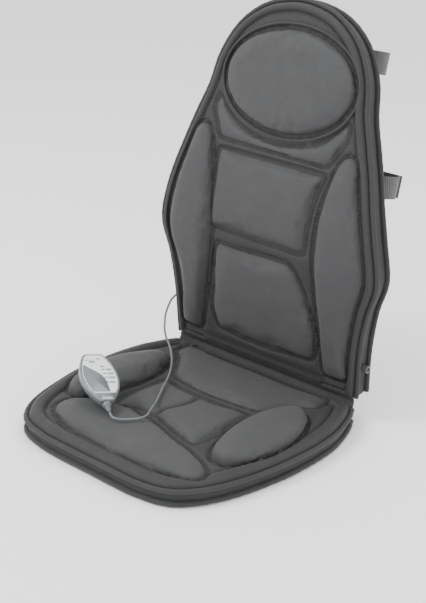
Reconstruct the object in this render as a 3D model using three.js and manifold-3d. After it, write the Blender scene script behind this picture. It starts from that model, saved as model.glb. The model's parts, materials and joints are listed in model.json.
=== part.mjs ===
// A massage seat topper: a quilted seat pad and back pad that fold at a crease, with a kneading
// unit behind the head cushion, vibration motors in the foam and a corded handset on the seat.
// Millimetres. +X is the sitter's left, -Y the front, +Z up; the seat's underside is on Z = 0.

import * as THREE from 'three';
import { mergeVertices } from 'three/addons/utils/BufferGeometryUtils.js';
import Module from 'manifold-3d';

const wasm = await Module();
wasm.setup();

// ---- driving dimensions -------------------------------------------------------------------
const GAP = 0.4; // clearance between neighbouring pieces
const SHEET = 2; // thickness of the cover fabric with its wadding
const PIPING_RADIUS = 4;

const SEAT_FRONT = -238;
const SEAT_REAR = 203;
const SEAT_SLAB_TOP = 27; // top edge of the seat's side wall
const SEAT_TOP = SEAT_SLAB_TOP + GAP + SHEET; // upper face of the top cover

const CREASE_Y = 205; // the fold between the pads
const CREASE_Z = 38;
const BACK_BOTTOM = 3; // distances up the back are measured from the crease
const BACK_HEIGHT = 664;
const BACK_DEPTH = 36; // from the front face to the rear face
const LOWER_LEAN = THREE.MathUtils.degToRad(-4.5); // towards the front, going up
const UPPER_LEAN = THREE.MathUtils.degToRad(12.6); // towards the rear
const BEND_START = 230;
const BEND_END = 370;

const HEAD_CENTRE = 532; // centre of the oval head cushion, up the back
const HEAD_HALF_WIDTH = 134;
const HEAD_HALF_HEIGHT = 88;

const WHEEL_CENTRE = 48; // kneader shafts, either side of the worm
const WHEEL_RADIUS = 41;
const WHEEL_TEETH = 36;
const WORM_RADIUS = 6;
const GEAR_DEPTH = 18; // depth of the gear plane behind the front face
const NODE_RADIUS = 12; // a kneading ball
const NODE_REACH = 24; // from the shaft to a ball's centre

const HANDSET_AT = new THREE.Vector3(-52, -142, 75);
const HANDSET_HEADING = THREE.MathUtils.degToRad(150);
const HANDSET_PITCH = THREE.MathUtils.degToRad(16.5);
const HANDSET_ROLL = THREE.MathUtils.degToRad(7);
const HANDSET_LENGTH = 118;
const HANDSET_WIDTH = 67;
const HANDSET_DEPTH = 19;

const CORD_RADIUS = 2;
// From the gland on the back pad's edge, down onto the seat and round to the handset's collar.
const CORD_ROUTE = [
  [-222, 214, 118], [-229, 211, 111], [-231, 202, 104], [-226, 188, 96], [-215, 169, 88],
  [-201, 152, 81], [-186, 136, 75], [-170, 123, 69], [-154, 114, 63], [-138, 103, 56],
  [-118, 84, 49], [-98, 59, 45.6], [-80, 33, 45.3], [-64, 5, 45.3], [-45, -25, 45.3],
  [-29, -51, 46], [-15, -73, 49], [-3, -93, 53.5], [5, -110, 55], [3, -126, 55],
  [-6, -139, 55], [-17, -151, 55.5], [-29, -155, 56.5],
];

// ---- colours ------------------------------------------------------------------------------
const finish = (color, roughness, metalness = 0) =>
  new THREE.MeshStandardMaterial({ color, roughness, metalness });
const CHARCOAL = 0x5f6062;
const DARK_CHARCOAL = 0x4a4b4d;
const FOAM = 0xd8d2c0;
const DARK_PLASTIC = 0x3c3f42;
const SILVER_PLASTIC = 0xd2d5d8;
const NATURAL_NYLON = 0xe4e0d4;
const STEEL = 0x9a9ea3;

const topper = new THREE.Group();

function add(name, geometry, material, parent = topper) {
  const mesh = new THREE.Mesh(geometry, material);
  mesh.name = name;
  parent.add(mesh);
  return mesh;
}

// ---- solids -------------------------------------------------------------------------------
function toManifold(geometry) {
  const bare = geometry.clone();
  bare.deleteAttribute('normal');
  bare.deleteAttribute('uv');
  const merged = mergeVertices(bare, 1e-4);
  return new wasm.Manifold(new wasm.Mesh({
    numProp: 3,
    vertProperties: new Float32Array(merged.attributes.position.array),
    triVerts: new Uint32Array(merged.index.array),
  }));
}

function toGeometry(manifold) {
  const mesh = manifold.getMesh();
  const geometry = new THREE.BufferGeometry();
  geometry.setAttribute('position', new THREE.BufferAttribute(mesh.vertProperties, 3));
  geometry.setIndex(new THREE.BufferAttribute(mesh.triVerts, 1));
  return geometry;
}

const cut = (body, ...tools) =>
  toGeometry(tools.reduce((left, tool) => left.subtract(toManifold(tool)), toManifold(body)));
const join = (body, ...others) =>
  toGeometry(others.reduce((sum, other) => sum.add(toManifold(other)), toManifold(body)));

// A closed body through a list of rings, each a convex loop with the same number of points.
function loft(rings) {
  const count = rings[0].length;
  const position = rings.flat().flatMap((p) => [p.x, p.y, p.z]);
  const index = [];
  for (let r = 0; r < rings.length - 1; r++) {
    for (let k = 0; k < count; k++) {
      const a = r * count + k;
      const b = r * count + (k + 1) % count;
      index.push(a, b, b + count, a, b + count, a + count);
    }
  }
  const last = (rings.length - 1) * count;
  for (let k = 1; k < count - 1; k++) {
    index.push(0, k + 1, k);
    index.push(last, last + k, last + k + 1);
  }
  const geometry = new THREE.BufferGeometry();
  geometry.setAttribute('position', new THREE.Float32BufferAttribute(position, 3));
  geometry.setIndex(signedVolume(position, index) > 0 ? index : index.reverse());
  return geometry;
}

function signedVolume(position, index) {
  const at = (i) => new THREE.Vector3().fromArray(position, 3 * i);
  let volume = 0;
  for (let i = 0; i < index.length; i += 3) {
    volume += at(index[i]).dot(at(index[i + 1]).cross(at(index[i + 2])));
  }
  return volume;
}

// A smooth function through a few [position, value] pairs.
function profile(pairs) {
  const slope = (i) => {
    const [p0, v0] = pairs[Math.max(i - 1, 0)];
    const [p1, v1] = pairs[Math.min(i + 1, pairs.length - 1)];
    return (v1 - v0) / (p1 - p0);
  };
  return (p) => {
    let i = 0;
    while (i < pairs.length - 2 && p > pairs[i + 1][0]) i++;
    const [p0, v0] = pairs[i];
    const [p1, v1] = pairs[i + 1];
    const t = THREE.MathUtils.clamp((p - p0) / (p1 - p0), 0, 1);
    const span = p1 - p0;
    return v0 * (1 + 2 * t) * (1 - t) ** 2 + slope(i) * span * t * (1 - t) ** 2
      + v1 * t * t * (3 - 2 * t) + slope(i + 1) * span * t * t * (t - 1);
  };
}

const steps = (from, to, count) =>
  Array.from({ length: count + 1 }, (_, i) => from + (to - from) * i / count);

// ---- the two pads' own frames ------------------------------------------------------------
const onSeat = (x, y, rise) => new THREE.Vector3(x, y, rise);

// Across, up the back and behind its front face; the pad leans forward, bends, then reclines.
function onBack(x, up, depth) {
  const radius = (BEND_END - BEND_START) / (UPPER_LEAN - LOWER_LEAN);
  const lower = Math.min(up, BEND_START);
  const upper = Math.max(up - BEND_END, 0);
  const turned = THREE.MathUtils.clamp(up - BEND_START, 0, BEND_END - BEND_START) / radius;
  const lean = LOWER_LEAN + turned;
  const y = lower * Math.sin(LOWER_LEAN)
    + radius * (Math.cos(LOWER_LEAN) - Math.cos(lean)) + upper * Math.sin(UPPER_LEAN);
  const z = lower * Math.cos(LOWER_LEAN)
    + radius * (Math.sin(lean) - Math.sin(LOWER_LEAN)) + upper * Math.cos(UPPER_LEAN);
  return new THREE.Vector3(
    x,
    CREASE_Y + y + depth * Math.cos(lean),
    CREASE_Z + z - depth * Math.sin(lean),
  );
}

const seatHalfWidth = profile([
  [SEAT_FRONT, 92], [-228, 146], [-205, 180], [-160, 207], [-90, 227],
  [0, 240], [90, 238], [160, 220], [SEAT_REAR, 199],
]);
const backHalfWidth = profile([
  [0, 203], [100, 208], [175, 220], [232, 236], [295, 227], [395, 199], [447, 182],
  [500, 164], [555, 152], [605, 126], [637, 92], [656, 54], [BACK_HEIGHT, 14],
]);
const SEAT_ROWS = [
  ...steps(SEAT_FRONT, -200, 6), ...steps(-180, 160, 12), ...steps(175, SEAT_REAR, 2),
];
const BACK_ROWS = [
  ...steps(BACK_BOTTOM, 220, 8), ...steps(235, 370, 7), ...steps(390, 590, 9),
  ...steps(605, BACK_HEIGHT, 8),
];

// A slab with the pad's outline, pulled in by inset, between two levels of its thickness.
function slab(rows, halfWidth, place, inset, low, high) {
  const first = rows[0];
  const last = rows[rows.length - 1];
  return loft(rows.map((row) => {
    const w = Math.max(halfWidth(row) - inset, 4);
    const at = THREE.MathUtils.clamp(row, first + inset, last - inset);
    return [place(-w, at, low), place(w, at, low), place(w, at, high), place(-w, at, high)];
  }).filter((ring, i, all) => i === 0 || ring[0].distanceTo(all[i - 1][0]) > 0.5));
}
const seatSlab = (inset, low, high) =>
  slab(SEAT_ROWS, seatHalfWidth, onSeat, inset, low, high);
const backSlab = (inset, low, high) =>
  slab(BACK_ROWS, backHalfWidth, onBack, inset, low, high);

// A crowned cushion between two edges. edges(t) gives its two edge points at t of its length
// and its height there; the crown is flat in the middle and rolls over towards both edges.
const CROWN_POINTS = 7;
const CROWN_POWER = 2.6;
const EDGE_HEIGHT = 3;
const END_ROUNDING = 0.7;

function cushion(place, base, length, edges) {
  const rings = steps(0, 1, length).map((t) => {
    const [left, right, height] = edges(t);
    const rise = EDGE_HEIGHT + (height - EDGE_HEIGHT) * endRound(t);
    const ring = [place(...left, base), place(...right, base)];
    for (const u of steps(1, -1, CROWN_POINTS)) {
      const h = EDGE_HEIGHT + (rise - EDGE_HEIGHT) * (1 - Math.abs(u) ** CROWN_POWER);
      const x = THREE.MathUtils.lerp(left[0], right[0], (u + 1) / 2);
      const y = THREE.MathUtils.lerp(left[1], right[1], (u + 1) / 2);
      ring.push(place(x, y, base + Math.sign(base) * h));
    }
    return ring;
  });
  return loft(rings);
}
const endRound = (t) => Math.min(1, Math.sin(Math.PI * t) * 2) ** END_ROUNDING;

// Edges of a leaf-shaped cushion: centre, length, width, turn, and the bow of its middle line.
function leaf(cx, cy, length, width, turn, height, bow = 0) {
  return (t) => {
    const along = (t - 0.5) * length;
    const half = Math.max(width / 2 * Math.sin(Math.PI * t) ** 0.75, 3);
    const off = bow * Math.sin(Math.PI * t);
    const spot = (side) => [
      cx + along * Math.cos(turn) - (off + side * half) * Math.sin(turn),
      cy + along * Math.sin(turn) + (off + side * half) * Math.cos(turn),
    ];
    return [spot(-1), spot(1), height];
  };
}

const polygon = (points) => new THREE.Shape(points.map((p) => new THREE.Vector2(...p)));

function plate(outline, low, high) {
  const solid = new THREE.ExtrudeGeometry(outline, {
    depth: high - low, bevelEnabled: false, curveSegments: 8,
  });
  return solid.translate(0, 0, low);
}

function disc(radius, low, high, segments = 24) {
  const solid = new THREE.CylinderGeometry(radius, radius, high - low, segments);
  return solid.rotateX(Math.PI / 2).translate(0, 0, (low + high) / 2);
}

function block(x0, x1, y0, y1, z0, z1) {
  const solid = new THREE.BoxGeometry(x1 - x0, y1 - y0, z1 - z0);
  return solid.translate((x0 + x1) / 2, (y0 + y1) / 2, (z0 + z1) / 2);
}

function tube(points, radius, stepCount, sides = 8) {
  const section = polygon(steps(0, sides - 1, sides - 1).map((k) => [
    radius * Math.cos(2 * Math.PI * k / sides),
    radius * Math.sin(2 * Math.PI * k / sides),
  ]));
  return new THREE.ExtrudeGeometry(section, {
    steps: stepCount,
    extrudePath: new THREE.CatmullRomCurve3(points),
  });
}

// ---- piping: a bead round each edge, from one end of the crease to the other ---------------
const PIPING_CLEAR = PIPING_RADIUS + 1.6;
const PIPING_STEPS = 72;
const PIPING_SIDES = 6;

function piping(rows, halfWidth, place, level) {
  const crease = Math.abs(rows[0]) < 10 ? rows[0] : rows[rows.length - 1];
  const far = crease === rows[0] ? rows[rows.length - 1] : rows[0];
  const away = Math.sign(far - crease);
  const spots = rows.filter((row) => row !== crease && row !== far);
  if (away < 0) spots.reverse();
  const outward = (row, sign) => {
    const slope = (halfWidth(row + 1) - halfWidth(row - 1)) / 2;
    const reach = PIPING_CLEAR / Math.hypot(1, slope);
    return place(sign * (halfWidth(row) + reach), row - slope * reach, level);
  };
  const end = far + away * PIPING_CLEAR;
  const flat = halfWidth(far);
  const corner = (sign) => outward(crease + away * PIPING_RADIUS, sign);
  return tube([
    corner(-1), ...spots.map((row) => outward(row, -1)),
    place(-flat, end, level), place(0, end, level), place(flat, end, level),
    ...spots.reverse().map((row) => outward(row, 1)), corner(1),
  ], PIPING_RADIUS, PIPING_STEPS, PIPING_SIDES);
}

// ---- seat pad -------------------------------------------------------------------------------
const thigh = { x: 96, y: -128 }; // a vibration motor under each thigh
const CASE = { length: 52, width: 30, height: 20, wall: 2 };
const POCKET = 3; // foam stands this far from a motor case

function casePocket(x, y, low, high) {
  return block(
    x - CASE.length / 2 - POCKET, x + CASE.length / 2 + POCKET,
    y - CASE.width / 2 - POCKET, y + CASE.width / 2 + POCKET, low, high,
  );
}

const leatherette = () => finish(CHARCOAL, 0.62);
const sideFabric = () => finish(DARK_CHARCOAL, 0.8);

add('seat_bottom_cover', cut(
  seatSlab(0, 0, SEAT_SLAB_TOP), seatSlab(SHEET, SHEET, SEAT_SLAB_TOP + 10),
), sideFabric());
add('seat_foam_core', cut(
  seatSlab(SHEET + GAP, SHEET + GAP, SEAT_SLAB_TOP - GAP),
  casePocket(-thigh.x, thigh.y, 0, SHEET + CASE.height + POCKET),
  casePocket(thigh.x, thigh.y, 0, SHEET + CASE.height + POCKET),
), finish(FOAM, 0.95));
add('seat_top_cover', seatSlab(0, SEAT_SLAB_TOP + GAP, SEAT_TOP), leatherette());
add('seat_piping_upper',
  piping(SEAT_ROWS, seatHalfWidth, onSeat, SEAT_SLAB_TOP), leatherette());
add('seat_piping_lower',
  piping(SEAT_ROWS, seatHalfWidth, onSeat, PIPING_RADIUS + 1), sideFabric());

const SEAT_PAD_BASE = SEAT_TOP + GAP;
const frontEdge = profile([[-178, -150], [-150, -200], [-60, -222], [60, -224], [196, -186]]);
const rearEdge = profile([[-178, -144], [-140, -128], [-50, -97], [60, -106], [196, -142]]);
add('seat_front_bolster', cushion(onSeat, SEAT_PAD_BASE, 18, (t) => {
  const x = -178 + 374 * t;
  return [[x, frontEdge(x)], [x, rearEdge(x)], 22];
}), leatherette());
const centreHalf = profile([[-102, 84], [-40, 92], [40, 96]]);
add('seat_centre_panel', cushion(onSeat, SEAT_PAD_BASE, 10, (t) => {
  const y = -84 + 130 * t;
  return [[-centreHalf(y), y], [centreHalf(y), y], 13];
}), leatherette());
const rearHalf = profile([[58, 92], [90, 106], [125, 126], [170, 150]]);
add('seat_rear_panel', cushion(onSeat, SEAT_PAD_BASE, 14, (t) => {
  const y = 58 + 112 * t;
  return [[-rearHalf(y), y], [rearHalf(y), y], 13];
}), leatherette());
const SIDE_TURN = THREE.MathUtils.degToRad(82);
add('seat_left_bolster', cushion(onSeat, SEAT_PAD_BASE, 16,
  leaf(-176, 0, 252, 104, Math.PI - SIDE_TURN, 36)), leatherette());
add('seat_right_bolster', cushion(onSeat, SEAT_PAD_BASE, 16,
  leaf(176, 0, 252, 104, SIDE_TURN, 36)), leatherette());

// A vibration motor: an open case, the motor can, and the half-round weight on its shaft. The
// motor's axis is along the group's X and the case opens towards the group's -Z.
const VIBRATION = { can: 7, canLength: 24, weight: 8, weightLength: 7, shaft: 1.5 };

function vibrationUnit(name, group) {
  topper.add(group);
  const { length, width, height, wall } = CASE;
  const shell = cut(
    block(-length / 2, length / 2, -width / 2, width / 2, 0, height),
    block(-length / 2 + wall, length / 2 - wall, -width / 2 + wall, width / 2 - wall,
      -1, height - wall),
  );
  add(`${name}_case`, shell, finish(DARK_PLASTIC, 0.5), group);
  const middle = height / 2 - 1;
  const can = disc(VIBRATION.can, -22, -22 + VIBRATION.canLength, 16);
  add(`${name}_motor`, can.rotateY(Math.PI / 2).translate(0, 0, middle),
    finish(STEEL, 0.35, 0.9), group);
  const half = new THREE.Shape();
  half.absarc(0, 0, VIBRATION.weight, Math.PI, 2 * Math.PI);
  const start = -22 + VIBRATION.canLength + GAP;
  const weight = join(
    plate(half, start + 3, start + 3 + VIBRATION.weightLength),
    disc(VIBRATION.shaft, start, start + 12, 10),
  );
  add(`${name}_weight`, weight.rotateY(Math.PI / 2).translate(0, 0, middle),
    finish(STEEL, 0.4, 0.9), group);
}

for (const [name, side] of [['left_thigh_vibration', -1], ['right_thigh_vibration', 1]]) {
  const group = new THREE.Group();
  group.position.set(side * thigh.x, thigh.y, SHEET + GAP);
  vibrationUnit(name, group);
}

// ---- back pad -------------------------------------------------------------------------------
// A group in the straight upper part of the back: X across, Y towards the rear, Z up the back.
function upperBackGroup(up) {
  const group = new THREE.Group();
  group.position.copy(onBack(0, up, 0));
  group.rotation.x = -UPPER_LEAN;
  topper.add(group);
  return group;
}
function upperBackTool(geometry, up) {
  const spot = onBack(0, up, 0);
  return geometry.rotateX(-UPPER_LEAN).translate(spot.x, spot.y, spot.z);
}
function lowerBackTool(geometry, up) {
  const spot = onBack(0, up, 0);
  return geometry.rotateX(-LOWER_LEAN).translate(spot.x, spot.y, spot.z);
}

const BOX = { half: 93, bottom: -74, top: 48, wall: 2 }; // the kneading unit's housing
const lumbarUp = 130; // centre of the lumbar vibration motor
const REAR_FACE = BACK_DEPTH - SHEET; // inner face of the rear cover

add('back_rear_cover', cut(
  backSlab(0, 0, BACK_DEPTH), backSlab(SHEET, -10, REAR_FACE),
), sideFabric());
add('back_foam_core', cut(
  backSlab(SHEET + GAP, GAP, REAR_FACE - GAP),
  upperBackTool(block(-BOX.half - POCKET, BOX.half + POCKET, -20, 60,
    BOX.bottom - POCKET, BOX.top + POCKET), HEAD_CENTRE),
  lowerBackTool(block(-CASE.length / 2 - POCKET, CASE.length / 2 + POCKET, 8, 60,
    -CASE.width / 2 - POCKET, CASE.width / 2 + POCKET), lumbarUp),
), finish(FOAM, 0.95));
add('back_front_cover', cut(
  backSlab(0, -GAP - SHEET, -GAP),
  upperBackTool(block(-92, 92, -20, 20, -44, 44), HEAD_CENTRE),
), leatherette());
add('back_piping_front',
  piping(BACK_ROWS, backHalfWidth, onBack, 1), leatherette());
add('back_piping_rear',
  piping(BACK_ROWS, backHalfWidth, onBack, BACK_DEPTH - PIPING_RADIUS),
  sideFabric());

const BACK_PAD_BASE = -GAP - SHEET - GAP;
const oval = (t) => {
  const up = HEAD_CENTRE - HEAD_HALF_HEIGHT * Math.cos(Math.PI * t);
  const half = Math.max(HEAD_HALF_WIDTH * Math.sin(Math.PI * t), 20);
  return [[-half, up], [half, up], 22];
};
add('head_oval_cushion', cut(
  cushion(onBack, BACK_PAD_BASE, 18, oval),
  upperBackTool(block(-92, 92, -15.5, 20, -42, 42), HEAD_CENTRE),
), leatherette());

add('neck_panel', cushion(onBack, BACK_PAD_BASE, 12, (t) => {
  const x = -132 + 264 * t;
  const arc = HEAD_HALF_HEIGHT + 8;
  const under = Math.sqrt(1 - (x / (HEAD_HALF_WIDTH + 24)) ** 2);
  return [[x, 404], [x, HEAD_CENTRE - arc * under], 9];
}), leatherette());
const upperHalf = profile([[254, 98], [320, 109], [394, 122]]);
add('upper_back_panel', cushion(onBack, BACK_PAD_BASE, 12, (t) => {
  const up = 254 + 140 * t;
  return [[-upperHalf(up), up], [upperHalf(up), up], 14];
}), leatherette());
const lumbarHalf = profile([[46, 86], [62, 114], [110, 120], [150, 113], [200, 92], [230, 68]]);
add('lumbar_panel', cushion(onBack, BACK_PAD_BASE, 14, (t) => {
  const up = 46 + 184 * t;
  return [[-lumbarHalf(up), up], [lumbarHalf(up), up], 20];
}), leatherette());

const wingInner = profile([[40, 138], [120, 127], [250, 113], [340, 122], [400, 140], [432, 158]]);
const wingOuter = profile([[40, 186], [120, 196], [235, 222], [300, 217], [390, 192], [432, 166]]);
for (const [name, side] of [['back_left_wing', -1], ['back_right_wing', 1]]) {
  add(name, cushion(onBack, BACK_PAD_BASE, 24, (t) => {
    const up = 40 + 392 * t;
    return [[side * wingInner(up), up], [side * wingOuter(up), up], 22];
  }), leatherette());
}

const lumbarGroup = new THREE.Group();
lumbarGroup.position.copy(onBack(0, lumbarUp, REAR_FACE - GAP));
lumbarGroup.rotation.x = Math.PI / 2 - LOWER_LEAN;
vibrationUnit('lumbar_vibration', lumbarGroup);

// ---- kneading unit behind the head cushion ------------------------------------------------
const kneader = upperBackGroup(HEAD_CENTRE);
// Turns a solid made along Z so that it stands along the group's depth, at x and z.
const facing = (geometry, x, z) => geometry.rotateX(-Math.PI / 2).translate(x, 0, z);
const PLATE = [4, 6]; // front and rear faces of the front plate
const TRAY_REAR = REAR_FACE - 2 * GAP;

add('kneader_front_plate', cut(
  block(-BOX.half, BOX.half, ...PLATE, BOX.bottom, BOX.top),
  facing(disc(8, 0, 20), -WHEEL_CENTRE, 0), facing(disc(8, 0, 20), WHEEL_CENTRE, 0),
), finish(DARK_PLASTIC, 0.55), kneader);
add('kneader_rear_tray', cut(
  block(-BOX.half, BOX.half, PLATE[1] + GAP, TRAY_REAR, BOX.bottom, BOX.top),
  block(-BOX.half + BOX.wall, BOX.half - BOX.wall, 0, TRAY_REAR - BOX.wall,
    BOX.bottom + BOX.wall, BOX.top - BOX.wall),
), finish(DARK_PLASTIC, 0.55), kneader);

const MOTOR = { radius: 11, bottom: -71, top: -27 };
add('kneader_motor',
  disc(MOTOR.radius, MOTOR.bottom, MOTOR.top).translate(0, GEAR_DEPTH, 0),
  finish(STEEL, 0.35, 0.9), kneader);

// The worm turns on the unit's up-axis between the two wheels; grooves stand for its thread.
const WORM_HALF = 18;
const wormProfile = [[0, MOTOR.top + GAP], [1.6, MOTOR.top + GAP], [1.6, -WORM_HALF]];
for (const z of steps(-WORM_HALF, WORM_HALF - 4, 6)) {
  wormProfile.push([4.4, z], [WORM_RADIUS, z + 1.2], [WORM_RADIUS, z + 2.4], [4.4, z + 3.6]);
}
wormProfile.push([0, WORM_HALF]);
const worm = new THREE.LatheGeometry(wormProfile.map((p) => new THREE.Vector2(...p)), 12);
add('kneader_worm', worm.rotateX(Math.PI / 2).translate(0, GEAR_DEPTH, 0),
  finish(STEEL, 0.3, 0.9), kneader);

const TOOTH = 2;
const wheelOutline = new THREE.Shape();
for (let tooth = 0; tooth < WHEEL_TEETH; tooth++) {
  for (const [part, radius] of [[0, -TOOTH], [0.3, 0], [0.6, 0], [0.9, -TOOTH]]) {
    const angle = 2 * Math.PI * (tooth + part) / WHEEL_TEETH;
    const r = WHEEL_RADIUS + radius;
    const go = tooth + part === 0 ? 'moveTo' : 'lineTo';
    wheelOutline[go](r * Math.cos(angle), r * Math.sin(angle));
  }
}
const ARM = { front: -1, rear: 2.5, half: 9 };
const SHAFT_RADIUS = 5;
for (const [name, side] of [['left', -1], ['right', 1]]) {
  const wheel = join(
    plate(wheelOutline, GEAR_DEPTH - 3, GEAR_DEPTH + 3),
    disc(SHAFT_RADIUS, ARM.rear + GAP, TRAY_REAR - BOX.wall - GAP, 16),
    disc(11, GEAR_DEPTH - 7, GEAR_DEPTH + 7),
  );
  add(`kneader_wheel_${name}`, facing(wheel, side * WHEEL_CENTRE, 0),
    finish(NATURAL_NYLON, 0.5), kneader);
  const arm = join(
    block(-NODE_REACH, NODE_REACH, -ARM.half, ARM.half, ARM.front, ARM.rear),
    disc(ARM.half, ARM.front, ARM.rear).translate(-NODE_REACH, 0, 0),
    disc(ARM.half, ARM.front, ARM.rear).translate(NODE_REACH, 0, 0),
  );
  add(`kneader_arm_${name}`, facing(arm, side * WHEEL_CENTRE, 0),
    finish(DARK_PLASTIC, 0.5), kneader);
  for (const [place, end] of [['inner', -1], ['outer', 1]]) {
    const ball = new THREE.LatheGeometry([
      new THREE.Vector2(0, 0),
      ...steps(0, 6, 6).map((k) => new THREE.Vector2(
        NODE_RADIUS * Math.cos(k * Math.PI / 12), NODE_RADIUS * Math.sin(k * Math.PI / 12))),
    ], 16);
    const x = side * (WHEEL_CENTRE + end * NODE_REACH);
    add(`kneading_ball_${name}_${place}`,
      ball.rotateX(Math.PI).translate(x, ARM.front - GAP, 0),
      finish(0x2c2d30, 0.7), kneader);
  }
}

// ---- straps, zip and fittings on the back -------------------------------------------------
const WEBBING = { width: 38, thickness: 2 };

function strapLoop(half, reach) {
  const start = BACK_DEPTH + GAP;
  const side = [
    [half - 14, start], [half - 2, start + 16], [half, start + reach * 0.6],
    [half - 12, start + reach * 0.9], [half - 42, start + reach],
  ];
  const path = [...side.map(([x, y]) => [-x, y]), ...side.reverse()];
  const middle = new THREE.SplineCurve(path.map((p) => new THREE.Vector2(...p)));
  const count = 36;
  const inner = [];
  const outer = [];
  for (const t of steps(0, 1, count)) {
    const p = middle.getPoint(t);
    const flat = Math.abs(p.x) < half - 44;
    const y = flat ? start + reach : p.y;
    const tangent = flat ? new THREE.Vector2(1, 0) : middle.getTangent(t);
    const nx = -tangent.y * WEBBING.thickness / 2;
    const ny = tangent.x * WEBBING.thickness / 2;
    inner.push([p.x - nx, Math.max(y - ny, start)]);
    outer.push([p.x + nx, Math.max(y + ny, start)]);
  }
  const ribbon = plate(polygon([...inner, ...outer.reverse()]),
    -WEBBING.width / 2, WEBBING.width / 2);
  return ribbon;
}

const SHOULDER_STRAP = { up: 392, half: 196, reach: 84 };
const HEAD_STRAP = { up: 590, half: 130, reach: 78 };
for (const [name, strap] of [['shoulder', SHOULDER_STRAP], ['head', HEAD_STRAP]]) {
  const group = upperBackGroup(strap.up);
  add(`${name}_strap`, strapLoop(strap.half, strap.reach), finish(0x38393b, 0.85), group);
}

// The tri-glide that shortens the shoulder strap, free to slide on its straight stretch.
const strapAt = BACK_DEPTH + GAP + SHOULDER_STRAP.reach;
const window = WEBBING.thickness / 2 + 0.6;
add('shoulder_strap_adjuster', cut(
  block(-13, 13, strapAt - window - 2.4, strapAt + window + 2.4, -25, 25),
  block(-14, 14, strapAt - window, strapAt + window, -20, 20),
), finish(DARK_PLASTIC, 0.45), upperBackGroup(SHOULDER_STRAP.up));

const ZIP_UP = 34;
const ZIP_END = 168;
const slider = join(
  block(-4, 4, BACK_DEPTH + GAP, BACK_DEPTH + 3, -6, 6),
  block(-2.5, 2.5, BACK_DEPTH + 1.5, BACK_DEPTH + 3.5, -24, 2),
);
add('zip_slider', lowerBackTool(slider.translate(ZIP_END, 0, 0), ZIP_UP),
  finish(STEEL, 0.35, 0.9));

const INLET_UP = 62;
const inletX = backHalfWidth(INLET_UP) + PIPING_RADIUS / 2;
const inlet = cut(
  disc(7, 0, 12, 20), disc(3.2, 3, 20, 16),
);
inlet.rotateY(Math.PI / 2).translate(inletX, BACK_DEPTH / 2, 0);
add('power_inlet', lowerBackTool(inlet, INLET_UP), finish(DARK_PLASTIC, 0.4));

// The cord's gland: a tapered sleeve on the back's left edge, the cord butting on its tip.
const [cordStart, cordSecond] = CORD_ROUTE.map((p) => new THREE.Vector3(...p));
const glandAxis = cordStart.clone().sub(cordSecond).normalize();
const gland = new THREE.CylinderGeometry(5.5, 3.4, 13, 16);
gland.translate(0, 13 / 2 + GAP, 0);
gland.applyQuaternion(
  new THREE.Quaternion().setFromUnitVectors(new THREE.Vector3(0, 1, 0), glandAxis));
gland.translate(...cordStart);
add('handset_cord_gland', gland, finish(DARK_PLASTIC, 0.5));

// ---- handset ----------------------------------------------------------------------------------
// Its frame: Y runs from the collar to the far end, X across, Z out of the face.
const handset = new THREE.Group();
handset.position.copy(HANDSET_AT);
handset.rotation.set(HANDSET_PITCH, HANDSET_ROLL, HANDSET_HEADING - Math.PI / 2, 'ZXY');
topper.add(handset);

const handsetHalf = profile([
  [0, 0.16], [0.1, 0.28], [0.28, 0.43], [0.5, 0.5], [0.75, 0.44], [0.93, 0.28], [1, 0.14],
]);
function handsetOutline(inset) {
  const scale = 1 - 2 * inset / HANDSET_LENGTH;
  const side = steps(0, 1, 16).map((t) => [
    handsetHalf(t) * HANDSET_WIDTH - inset, inset + t * HANDSET_LENGTH * scale,
  ]);
  return polygon([...side, ...side.map(([x, y]) => [-x, y]).reverse()]);
}
const RIM_INSET = 3.5;
const FACE = { low: -4, high: 0.6 };
add('handset_lower_shell', cut(
  plate(handsetOutline(0), -HANDSET_DEPTH, -8), plate(handsetOutline(2), 2 - HANDSET_DEPTH, 0),
), finish(DARK_PLASTIC, 0.4), handset);
add('handset_rim', cut(
  plate(handsetOutline(0), -8 + GAP, 0), plate(handsetOutline(RIM_INSET), -20, 20),
), finish(DARK_PLASTIC, 0.35), handset);
add('handset_circuit_board', plate(handsetOutline(6), -14, -12.4),
  finish(0x2f6b45, 0.6), handset);

const BUTTONS = [
  ['power', -6, 97, 9, 5], ['mode_1', 19, 76, 9, 4], ['mode_2', 20, 66, 9, 4],
  ['mode_3', 20, 56, 9, 4], ['heat', 18, 44, 9, 4],
];
const BUTTON_PROUD = 1.2;
const hole = ([, x, y, w, h]) =>
  block(x - w / 2 - GAP, x + w / 2 + GAP, y - h / 2 - GAP, y + h / 2 + GAP, -20, 20);
add('handset_face', cut(
  plate(handsetOutline(RIM_INSET + GAP), FACE.low, FACE.high), ...BUTTONS.map(hole),
), finish(SILVER_PLASTIC, 0.35, 0.1), handset);
for (const [name, x, y, w, h] of BUTTONS) {
  add(`button_${name}`,
    block(x - w / 2, x + w / 2, y - h / 2, y + h / 2, -7.5, FACE.high + BUTTON_PROUD),
    finish(0xa6abb0, 0.5), handset);
}
const COLLAR = 17;
const collar = new THREE.LatheGeometry([
  [0, -COLLAR], [3.8, -COLLAR], [5, -10], [8.4, -5], [9.5, -GAP], [0, -GAP],
].map((p) => new THREE.Vector2(...p)), 16);
add('handset_collar', collar.translate(0, 0, -HANDSET_DEPTH / 2 - 1),
  finish(DARK_PLASTIC, 0.5), handset);

// ---- the cord -------------------------------------------------------------------------------
handset.updateMatrixWorld(true);
const collarTip = handset.localToWorld(new THREE.Vector3(0, -COLLAR - 2 * GAP, -HANDSET_DEPTH / 2 - 1));
const route = CORD_ROUTE.map((p) => new THREE.Vector3(...p));
add('handset_cord', tube([...route, collarTip], CORD_RADIUS, 78), finish(0x6c6f73, 0.6));

export default topper;
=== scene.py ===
import json
import math

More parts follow.
